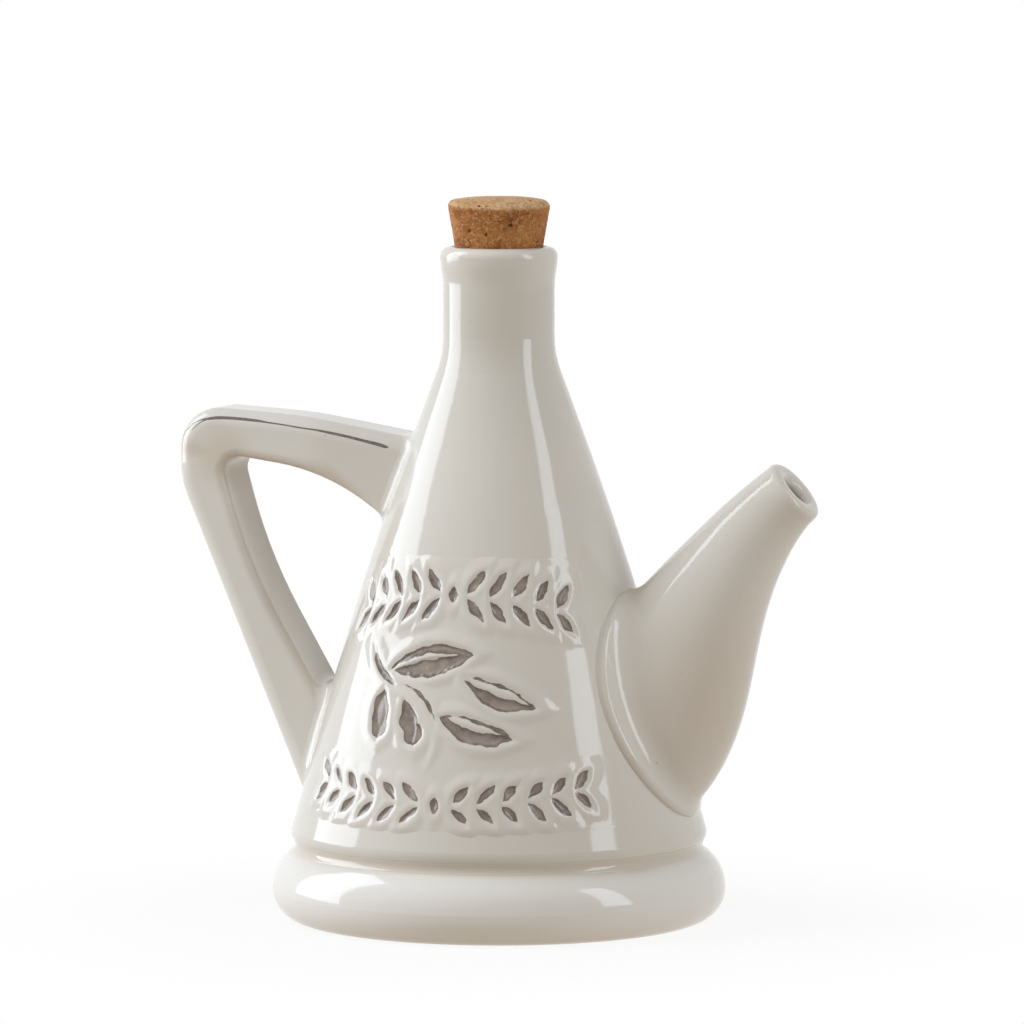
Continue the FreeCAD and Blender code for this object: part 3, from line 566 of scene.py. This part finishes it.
# %% [markdown]
# ## Glaze in the groove
# A dipped glaze runs together in a groove. Over the foot it makes a soft hollow, which touches the
# belly above and the foot's slope below. A circle is extruded ring by ring along that hollow's
# arc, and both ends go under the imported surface, so that no edge shows. A ring could be spun from
# an outline as well; the rings are easier to follow.

# %% Rings of the hollow
HOLLOW = 2.0
RINGS = 12
END_BEYOND, END_UNDER = 0.6, 0.5
groove_corner = np.array([GROOVE_RADIUS, GROOVE_HEIGHT])


def way_to(radius, height):
    """Way from the groove's corner to a corner of the outline, of length 1."""
    way = np.array([radius, height]) - groove_corner
    return way / np.hypot(*way)


up_the_belly, down_the_foot = way_to(BELLY_RADIUS, BELLY_HEIGHT), way_to(FOOT_RADIUS, FOOT_HEIGHT)
half_angle = math.acos(float(up_the_belly @ down_the_foot)) / 2
bisector = (up_the_belly + down_the_foot) / np.linalg.norm(up_the_belly + down_the_foot)
to_center = bisector * HOLLOW / math.sin(half_angle)
touch = HOLLOW / math.tan(half_angle)
first, last = to_center - up_the_belly * touch, to_center - down_the_foot * touch
sweep = math.pi - 2 * half_angle
top_end, foot_end = (
    groove_corner + way * (touch + END_BEYOND) - bisector * END_UNDER for way in (up_the_belly, down_the_foot)
)
rings = [top_end]
for share in np.linspace(0, 1, RINGS):
    inwards = -(first * math.sin((1 - share) * sweep) + last * math.sin(share * sweep))
    rings.append(groove_corner + to_center + inwards / np.linalg.norm(inwards) * (HOLLOW - SKIN_LIFT))
rings.append(foot_end)
print("radius and height of the first and last ring:", rings[1].round(2), rings[-2].round(2))


# %% The hollow
def agree_normals():
    """Makes all faces of the active piece look to the same side."""
    bpy.ops.object.mode_set(mode="EDIT")
    bpy.ops.mesh.select_all(action="SELECT")
    bpy.ops.mesh.normals_make_consistent(inside=False)
    bpy.ops.object.mode_set(mode="OBJECT")


deselect_all()
bpy.ops.mesh.primitive_circle_add(vertices=256, radius=rings[0][0] * MM, location=(0, 0, rings[0][1] * MM))
groove_glaze = bpy.context.object
groove_glaze.name = groove_glaze.data.name = "groove_glaze"
bpy.ops.object.transform_apply(location=True, rotation=True, scale=True)
bpy.ops.object.mode_set(mode="EDIT")
bpy.ops.mesh.select_all(action="SELECT")
for before, ring in zip(rings, rings[1:]):
    bpy.ops.mesh.extrude_region_move(TRANSFORM_OT_translate={"value": (0, 0, (ring[1] - before[1]) * MM)})
    bpy.ops.transform.resize(value=(ring[0] / before[0], ring[0] / before[0], 1), center_override=(0, 0, 0))
agree_normals()
turn_outwards(groove_glaze, from_axis)
bpy.ops.object.shade_smooth()
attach(groove_glaze, "pourer")
groove_glaze.data.materials.append(glaze)
print("glaze in the groove:", len(groove_glaze.data.polygons), "faces")

# %% [markdown]
# ## Glaze in the spout's mouth
# Round the bore's edge the glaze makes a soft funnel down to the open mouth. A torus is turned to
# the cut, just under its flat rim, and its outer half, which would lie in the clay, is deleted in
# edit mode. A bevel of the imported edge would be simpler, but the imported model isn't changed.

# %% Torus under the mouth
MOUTH = Vector((79.6, 0, 112.45))
MOUTH_TILT = math.radians(49.9)
FUNNEL_DEPTH, FUNNEL_RADIUS, FUNNEL_ROUND = 2.43, 5.9, 2.4
out_of_spout = Vector((math.sin(MOUTH_TILT), 0, math.cos(MOUTH_TILT)))

deselect_all()
bpy.ops.mesh.primitive_torus_add(
    major_segments=96, minor_segments=48, major_radius=FUNNEL_RADIUS * MM, minor_radius=FUNNEL_ROUND * MM,
    location=(MOUTH - out_of_spout * FUNNEL_DEPTH) * MM, rotation=(0, MOUTH_TILT, 0),
)
funnel = bpy.context.object
funnel.name = funnel.data.name = "mouth_funnel"
bpy.ops.object.transform_apply(location=True, rotation=True, scale=True)
print("torus:", len(funnel.data.polygons), "faces")


# %% Its inner half
def edit_faces(piece, rule):
    """Opens the active piece in edit mode, with just the faces selected that the rule holds for."""
    bpy.ops.object.mode_set(mode="EDIT")
    bpy.ops.mesh.select_mode(type="FACE")
    bpy.ops.mesh.select_all(action="DESELECT")
    bpy.ops.object.mode_set(mode="OBJECT")
    for face in piece.data.polygons:
        face.select = rule(face)
    bpy.ops.object.mode_set(mode="EDIT")


def in_the_clay(face):
    """True for a face of the torus's outer half."""
    from_mouth = Vector(face.center) / MM - MOUTH
    from_bore = from_mouth - out_of_spout * from_mouth.dot(out_of_spout)
    return from_bore.length > FUNNEL_RADIUS


edit_faces(funnel, in_the_clay)
bpy.ops.mesh.delete(type="FACE")
bpy.ops.object.mode_set(mode="OBJECT")
bpy.ops.object.shade_smooth()
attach(funnel, "pourer")
funnel.data.materials.append(glaze)
open_mouth = round(2 * (FUNNEL_RADIUS - FUNNEL_ROUND), 1)
print("open mouth:", open_mouth, "mm wide,", len(funnel.data.polygons), "faces left")

# %% [markdown]
# ## The line along the handle
# A thin line is cut along the strap where its front turns over to its back edge, and stained grey
# like the leaves. It is narrow where the tool went in and out and wider between, and it ends in
# two thin tails at the bend. Here it is a ribbon of quads that follows the strap and is laid on
# its surface by a shrinkwrap modifier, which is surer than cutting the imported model.

# %% Points of the line and its tails
LINES = {
    # x, z, y and width of each point
    "line": (
        (-76.8, 126.8, -9.55, 0.35), (-74.6, 127.1, -9.6, 0.62), (-72.4, 127.3, -9.5, 0.66),
        (-68.1, 127.2, -9.4, 0.62), (-63.7, 126.9, -9.4, 0.58), (-61.5, 126.7, -9.5, 0.48),
        (-59.3, 126.4, -9.55, 0.34), (-54.9, 125.9, -9.65, 0.3), (-50.5, 125.3, -9.7, 0.3),
        (-46.1, 124.8, -9.65, 0.38), (-41.8, 124.1, -9.65, 0.56), (-37.4, 123.3, -9.65, 0.6),
        (-33.1, 122.4, -9.75, 0.6), (-29.8, 121.7, -9.8, 0.72), (-27.4, 121.1, -9.85, 0.68),
        (-26.4, 120.9, -9.85, 0.2),
    ),
    "long_tail": (
        (-76.6, 126.9, -9.5, 0.34), (-78.3, 126.4, -9.35, 0.22), (-79.4, 125.9, -9.2, 0.16),
        (-80.3, 125.3, -9.1, 0.16), (-81.2, 124.4, -8.9, 0.18), (-82.0, 123.7, -8.65, 0.18),
        (-82.5, 123.0, -8.4, 0.18), (-83.0, 122.2, -8.3, 0.08),
    ),
    "short_tail": (
        (-76.3, 126.7, -9.6, 0.3), (-77.7, 126.0, -9.7, 0.18), (-78.5, 125.4, -9.7, 0.16),
        (-79.6, 124.5, -9.65, 0.12), (-80.2, 123.9, -9.65, 0.05),
    ),
}
print("points by hand:", {name: len(points) for name, points in LINES.items()})

# %% A smooth path through points
PATH_PARTS = 8


def smooth_path(points):
    """Points of a smooth curve through the given ones."""
    points = np.array(points)
    path = []
    for index in range(len(points) - 1):
        before, start, end, after = (points[min(max(index + k, 0), len(points) - 1)] for k in (-1, 0, 1, 2))
        for step in np.arange(PATH_PARTS) / PATH_PARTS:
            path.append(0.5 * (2 * start + (end - before) * step
                               + (2 * before - 5 * start + 4 * end - after) * step ** 2
                               + (3 * start - before - 3 * end + after) * step ** 3))
    return np.array(path + [points[-1]])


print("points of the line's path:", len(smooth_path(LINES["line"])))

# %% Ribbons on the strap
STRANDS = 4
BROADER = 1.15
START_IN_FRONT, WRAP_REACH = 0.5, 3.0
LINE_LIFT = 0.03


def lay_ribbon(points):
    """Ribbon along a path, laid on the strap from in front."""
    path = smooth_path(points)
    along = np.gradient(path[:, [0, 1]], axis=0)
    along /= np.linalg.norm(along, axis=1)[:, None]
    across = np.stack([-along[:, 1], along[:, 0]], 1)
    deselect_all()
    bpy.ops.mesh.primitive_grid_add(x_subdivisions=len(path) - 1, y_subdivisions=STRANDS, size=2)
    ribbon = bpy.context.object
    for vertex in ribbon.data.vertices:
        index = round((vertex.co.x + 1) / 2 * (len(path) - 1))
        x, z, y, width = path[index]
        side = vertex.co.y * width * BROADER / 2
        vertex.co = Vector((x + across[index][0] * side, y - START_IN_FRONT, z + across[index][1] * side)) * MM
    wrap = ribbon.modifiers.new("lay on the strap", "SHRINKWRAP")
    wrap.target = body_node
    wrap.wrap_method = "PROJECT"
    wrap.use_project_y = True
    wrap.use_positive_direction = True
    wrap.use_negative_direction = True
    wrap.project_limit = WRAP_REACH * MM
    bpy.ops.object.modifier_apply(modifier=wrap.name)
    for vertex in ribbon.data.vertices:
        vertex.co.y -= LINE_LIFT * MM
    return ribbon


ribbons = [lay_ribbon(points) for points in LINES.values()]
print("points in each ribbon:", [len(ribbon.data.vertices) for ribbon in ribbons])

# %% One piece of three ribbons
deselect_all()
for ribbon in ribbons:
    ribbon.select_set(True)
line = bpy.context.view_layer.objects.active = ribbons[0]
bpy.ops.object.join()
line.name = line.data.name = "handle_line"
deselect_all()
line.select_set(True)
agree_normals()
turn_outwards(line, lambda face: Vector((0, -1, 0)))
bpy.ops.object.shade_smooth()
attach(line, "pourer")
print("handle line:", len(line.data.vertices), "points")

# %% Stain in the line
LINE_DARK, LINE_PALE = colour(92, 86, 84), colour(126, 118, 113)

line_stain, line_place = new_material("line_stain")
grain = smooth_range(line_stain, noise(line_stain, line_place, 2200.0), 0.3, 0.7)
line_grey = mix_colours(line_stain, grain, LINE_DARK, LINE_PALE)
add_surface(line_stain, {"Base Color": line_grey, "Roughness": 0.25, "IOR": 1.5})
line.data.materials.append(line_stain)
print("stain in the line:", len(line_stain.node_tree.nodes), "nodes")

# %% [markdown]
# ## Cork
# A stopper is cut from bark: a tapered plug with a low dome, worn edges, pores and short cracks,
# and its top edge is worn lower in front. A cone is added at its size, its top face is inset and
# lifted to a dome, and its edges are bevelled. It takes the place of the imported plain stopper.

# %% Cone with a dome and rounded edges
CORK_LOW, CORK_HIGH = 157.7, 183.6
CORK_LOW_RADIUS, CORK_HIGH_RADIUS = 8.97, 13.25
CORK_ROUND = 1.3
DOME = ((1.6, 0.5), (2.0, 0.34), (2.6, 0.23), (3.2, 0.13))  # inset, lift

deselect_all()
bpy.ops.mesh.primitive_cone_add(
    vertices=96, radius1=CORK_LOW_RADIUS * MM, radius2=CORK_HIGH_RADIUS * MM,
    depth=(CORK_HIGH - CORK_LOW) * MM, location=(0, 0, (CORK_HIGH + CORK_LOW) / 2 * MM),
)
cork = bpy.context.object
cork.name = cork.data.name = "cork"
bpy.ops.object.transform_apply(location=True, rotation=True, scale=True)
edit_faces(cork, lambda face: face.normal.z > 0.99)
for inset, lift in DOME:
    bpy.ops.mesh.inset(thickness=inset * MM)
    bpy.ops.transform.translate(value=(0, 0, lift * MM))
bpy.ops.object.mode_set(mode="OBJECT")
rounding = cork.modifiers.new("worn edges", "BEVEL")
rounding.width = CORK_ROUND * MM
rounding.segments = 4
rounding.limit_method = "ANGLE"
rounding.angle_limit = math.radians(50)
bpy.ops.object.modifier_apply(modifier=rounding.name)
print("cork cut:", len(cork.data.polygons), "faces")

# %% [markdown]
# A voxel remesh gives the cork even, fine faces, which can be pushed in where a pore is. Pores
# sit in the cells of a Voronoi pattern, most cells have one, and each has its own size. Cracks run
# where a slow noise crosses zero, in a few places only.

# %% Even faces
remesh = cork.modifiers.new("even faces", "REMESH")
remesh.mode = "VOXEL"
remesh.voxel_size = 0.26 * MM
bpy.ops.object.modifier_apply(modifier=remesh.name)
soften = cork.modifiers.new("soften", "SMOOTH")
soften.factor = 0.5
soften.iterations = 3
bpy.ops.object.modifier_apply(modifier=soften.name)
print("cork remeshed:", len(cork.data.vertices), "points")

# %% Pores and cracks
PORES_PER_MM = 0.5
WITHOUT_PORE = 0.42  # share of the cells
SMALLEST_PORE, PORE_SPREAD = 0.16, 0.4  # in cells
CRACK_WIDTH, CRACK_DEPTH, CRACKED_FROM = 0.03, 0.7, 0.22
noise_at = solid_noise.noise


def clamp(value):
    """The value, held between 0 and 1."""
    return min(max(value, 0.0), 1.0)


def pore_depth(spot):
    """How deep a point of the bark lies in a pore or crack, from 0 to 1."""
    distances, centers = solid_noise.voronoi(spot * PORES_PER_MM)
    size = SMALLEST_PORE + PORE_SPREAD * abs(noise_at(centers[0] * 3.1))
    ragged = 0.26 * noise_at(spot * 1.9) + 0.06
    has_pore = solid_noise.cell(centers[0] * 7.3) > WITHOUT_PORE
    pit = clamp(1 - (distances[0] + ragged) / size) if has_pore else 0.0
    from_line = abs(noise_at(Vector((spot.x * 0.2, spot.y * 0.2, spot.z * 0.32 + 5.2))))
    where = noise_at(spot * 0.17 + Vector((3.1, 8.7, 1.3)))
    crack = clamp(1 - from_line / CRACK_WIDTH) * clamp((where - CRACKED_FROM) * 7) * CRACK_DEPTH
    return clamp(max(pit ** 0.7, crack))


print("at a point of the cork's side:", round(pore_depth(Vector((0, -12, 175))), 2))

# %% Worn surface
SHAVED, UNEVEN, CRUMBS, PORE_DEPTH = 0.02, 0.1, 0.05, 0.32
WORN_LOWER = 1.1
WORN_RADII, WORN_HEIGHTS = (6.0, 13.0), (178.0, 183.0)
WORN_WAY, WORN_START, WORN_SPAN = (0.5, -0.87), 3.0, 16.0
TOP_FROM, TOP_TO = 0.15, 0.6  # how far a face looks up


def share_between(value, low, high):
    """0 up to low, 1 from high on, and an even change between."""
    return clamp((value - low) / (high - low))


def bark_depth(spot, pore):
    """How far a point of the bark lies under the cut surface."""
    uneven = clamp(0.5 + 0.5 * solid_noise.fractal(spot * 0.35, 0.9, 2.0, 3))
    crumb = 0.5 + 0.5 * noise_at(spot * 2.2)
    return SHAVED + UNEVEN * uneven + CRUMBS * crumb + PORE_DEPTH * pore


def worn_off(spot):
    """How much lower the top edge is worn there; most in front."""
    near_edge = share_between(math.hypot(spot.x, spot.y), *WORN_RADII) * share_between(spot.z, *WORN_HEIGHTS)
    to_front = spot.x * WORN_WAY[0] + spot.y * WORN_WAY[1] + WORN_START
    return WORN_LOWER * near_edge * max(0.0, to_front) / WORN_SPAN


normals = [vertex.normal.copy() for vertex in cork.data.vertices]
pores, tops = [], []
for vertex, normal in zip(cork.data.vertices, normals):
    spot = vertex.co / MM
    pores.append(pore_depth(spot))
    tops.append(share_between(normal.z, TOP_FROM, TOP_TO))
    vertex.co -= normal * bark_depth(spot, pores[-1]) * MM
    vertex.co.z -= worn_off(spot) * MM
for name, values in (("pore", pores), ("top", tops)):
    cork.data.attributes.new(name, "FLOAT", "POINT").data.foreach_set("value", values)
cork.data.update()
bpy.ops.object.shade_smooth()
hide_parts("cork_stopper")
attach(cork, "stopper")
pored = sum(pore > 0.2 for pore in pores) / len(pores)
print("cork:", len(cork.data.vertices), "points, share of pores", round(pored, 3))

# %% [markdown]
# The bark is orange brown at its side and paler on the faces that look up. Cells under a millimetre across give
# it its grain, with pale crumbs between them; the pores are dark.

# %% Cork colours
SIDE_PALE, SIDE_DARK = colour(188, 128, 72), colour(146, 84, 38)
TOP_PALE, TOP_DARK = colour(228, 190, 146), colour(206, 164, 118)
CELL_DARK, CELL_PALE = colour(150, 96, 52), colour(226, 186, 138)
CRUMB_PALE, CRUMB_DARK = colour(224, 184, 136), colour(112, 66, 34)
CLOT_DARK = colour(104, 60, 30)
PORE_DARK = colour(78, 40, 22)
print("cork's side, from", [round(c, 2) for c in SIDE_DARK[:3]], "to", [round(c, 2) for c in SIDE_PALE[:3]])

# %% Cork material
GRAIN_DEPTH = 0.3

cork_bark, cork_place = new_material("cork_bark")
patches = noise(cork_bark, cork_place, 150.0, detail=4.0, roughness=0.6)
crumbs = noise(cork_bark, cork_place, 1900.0, detail=4.0, roughness=0.75)
clots = noise(cork_bark, cork_place, 520.0, detail=3.0, roughness=0.65)
cells = add_node(cork_bark, "ShaderNodeTexVoronoi",
                 {"Vector": cork_place, "Scale": 1500.0}, feature="F1").outputs
cell_shade = add_node(cork_bark, "ShaderNodeSeparateColor", {"Color": cells["Color"]}).outputs
side = mix_colours(cork_bark, smooth_range(cork_bark, patches, 0.4, 0.68), SIDE_PALE, SIDE_DARK)
top = mix_colours(cork_bark, smooth_range(cork_bark, patches, 0.35, 0.7), TOP_PALE, TOP_DARK)
bark = mix_colours(cork_bark, marked(cork_bark, "top"), side, top)
for pattern, low, high, share, other in (
    (cell_shade["Red"], 0.5, 1.0, 0.5, CELL_DARK),
    (cell_shade["Green"], 0.6, 1.0, 0.4, CELL_PALE),
    (crumbs, 0.54, 0.7, 0.5, CRUMB_PALE),
    (crumbs, 0.47, 0.32, 0.65, CRUMB_DARK),
    (clots, 0.6, 0.7, 0.6, CLOT_DARK),
    (marked(cork_bark, "pore"), 0.05, 0.4, 0.9, PORE_DARK),
):
    bark = mix_colours(cork_bark, smooth_range(cork_bark, pattern, low, high, 0.0, share), bark, other)
grain_height = math_node(cork_bark, "ADD", crumbs, math_node(cork_bark, "MULTIPLY", cells["Distance"], -0.6))
cork_bump = add_node(cork_bark, "ShaderNodeBump",
                     {"Height": grain_height, "Strength": 0.8, "Distance": GRAIN_DEPTH * MM})
add_surface(cork_bark, {"Base Color": bark, "Roughness": 0.85, "Specular IOR Level": 0.25,
                        "Normal": cork_bump.outputs["Normal"]})
cork.data.materials.clear()
cork.data.materials.append(cork_bark)
print("cork material:", len(cork_bark.node_tree.nodes), "nodes")

# %% [markdown]
# ## Light
# The glaze mirrors the room, so the room decides how it looks. The left softbox gives the broad
# bright band, and the narrow strip on the right the thin stripe. The strip lights the body as
# well. The left one doesn't: a wider window beside it does, so that the mirrored band and the
# light on the body can be set one by one. A warm lamp overhead and a faint one on the right fill
# the rest. Each lamp says whether the glaze shows it and whether it lights the body.

# %% Softboxes, in metres
SOFTBOXES = {
    # turn from +X in degrees, away, height, width, height of the box, radiance, in the glaze, on the body
    "left_softbox": (-176.0, 1.25, 0.85, 0.85, 1.7, 4.0, True, False),
    "right_strip": (-10.0, 1.3, 0.83, 0.38, 1.4, 3.9, True, True),
    "window_left": (-155.0, 1.6, 1.0, 1.4, 1.6, 4.3, False, True),
    "overhead": (-100.0, 0.4, 1.6, 1.4, 1.0, 0.7, False, True),
    "right_fill": (-10.0, 1.6, 1.0, 1.2, 1.6, 0.5, False, True),
}
LAMP_WHITE = (0.97, 1.06, 1.18)
LAMP_WARM = (1.12, 1.0, 0.84)
BODY_MIDDLE = 0.09

for name, (bearing, away, middle, wide, tall, radiance, mirrored, lighting) in SOFTBOXES.items():
    lamp = bpy.data.lights.new(name, "AREA")
    lamp.shape = "RECTANGLE"
    lamp.size, lamp.size_y = wide, tall
    lamp.color = LAMP_WARM if name == "overhead" else LAMP_WHITE
    lamp.energy = radiance * math.pi * wide * tall
    stand = bpy.data.objects.new(name, lamp)
    stand.location = (away * math.cos(math.radians(bearing)), away * math.sin(math.radians(bearing)), middle)
    aim = Vector((0, 0, middle if mirrored else BODY_MIDDLE))
    stand.rotation_euler = (aim - stand.location).to_track_quat("-Z", "Y").to_euler()
    stand.visible_glossy, stand.visible_diffuse = mirrored, lighting
    bpy.context.collection.objects.link(stand)
print("softboxes:", len(SOFTBOXES))

# %% [markdown]
# ## Room and floor
# The room and the floor are plain white where they are seen: straight, through glass or in a
# mirror. For all other rays they give a weaker, warm light, so that the light on the pourer stays
# plain. Light Path tells the two apart. Near the pourer the floor is partly paint, which keeps
# the soft shadow, and further out it is all light, so that it has no horizon.

# %% White where it is seen
WARM_LIGHT = (1.16, 0.98, 0.78, 1.0)
PLAIN_WHITE = (1, 1, 1, 1)


def seen_white(material, light):
    """Inputs for a plain white where it is seen, and a warm light of this strength otherwise."""
    paths = add_node(material, "ShaderNodeLightPath").outputs
    straight = math_node(material, "ADD", paths["Is Camera Ray"], paths["Is Transmission Ray"])
    seen = math_node(material, "ADD", straight, paths["Is Glossy Ray"], clamp=True)
    return {
        "Color": mix_colours(material, seen, WARM_LIGHT, PLAIN_WHITE),
        "Strength": smooth_range(material, seen, 0.0, 1.0, light, 1.0),
    }


print("warm light:", WARM_LIGHT[:3])

# %% Room
ROOM_LIGHT = 0.14

world = bpy.data.worlds.new("studio")
bpy.context.scene.world = world
world.use_nodes = True
world.node_tree.nodes.clear()
backdrop = add_node(world, "ShaderNodeBackground", seen_white(world, ROOM_LIGHT))
add_node(world, "ShaderNodeOutputWorld", {"Surface": backdrop.outputs["Background"]})
print("room light:", ROOM_LIGHT)

# %% Floor
FLOOR_LIGHT = 0.45
FLOOR_RADIUS = 6.0  # metres
SHADOW_NEAR, SHADOW_FAR = 50.0, 160.0
SHARE_OF_LIGHT = 0.91  # near the pourer; the rest is paint
PAINT = (0.8, 0.8, 0.8, 1)

deselect_all()
bpy.ops.mesh.primitive_circle_add(vertices=96, radius=FLOOR_RADIUS, fill_type="NGON", location=(0, 0, 0))
floor = bpy.context.object
floor.name = floor.data.name = "floor"
table_white, table_place = new_material("table_white")
paint = add_node(table_white, "ShaderNodeBsdfDiffuse", {"Color": PAINT})
glow = add_node(table_white, "ShaderNodeEmission", seen_white(table_white, FLOOR_LIGHT))
from_pourer = add_node(table_white, "ShaderNodeVectorMath",
                       {0: table_place}, operation="LENGTH").outputs["Value"]
glowing = smooth_range(table_white, from_pourer, SHADOW_NEAR * MM, SHADOW_FAR * MM, SHARE_OF_LIGHT, 1.0)
table_mix = add_node(table_white, "ShaderNodeMixShader",
                     {0: glowing, 1: paint.outputs["BSDF"], 2: glow.outputs["Emission"]})
add_node(table_white, "ShaderNodeOutputMaterial", {"Surface": table_mix.outputs["Shader"]})
floor.data.materials.append(table_white)
print("floor:", 2 * FLOOR_RADIUS, "m across")

# %% [markdown]
# ## Finish
# The Standard view keeps colours as they are written.

# %% Finish
bpy.context.scene.view_settings.view_transform = "Standard"
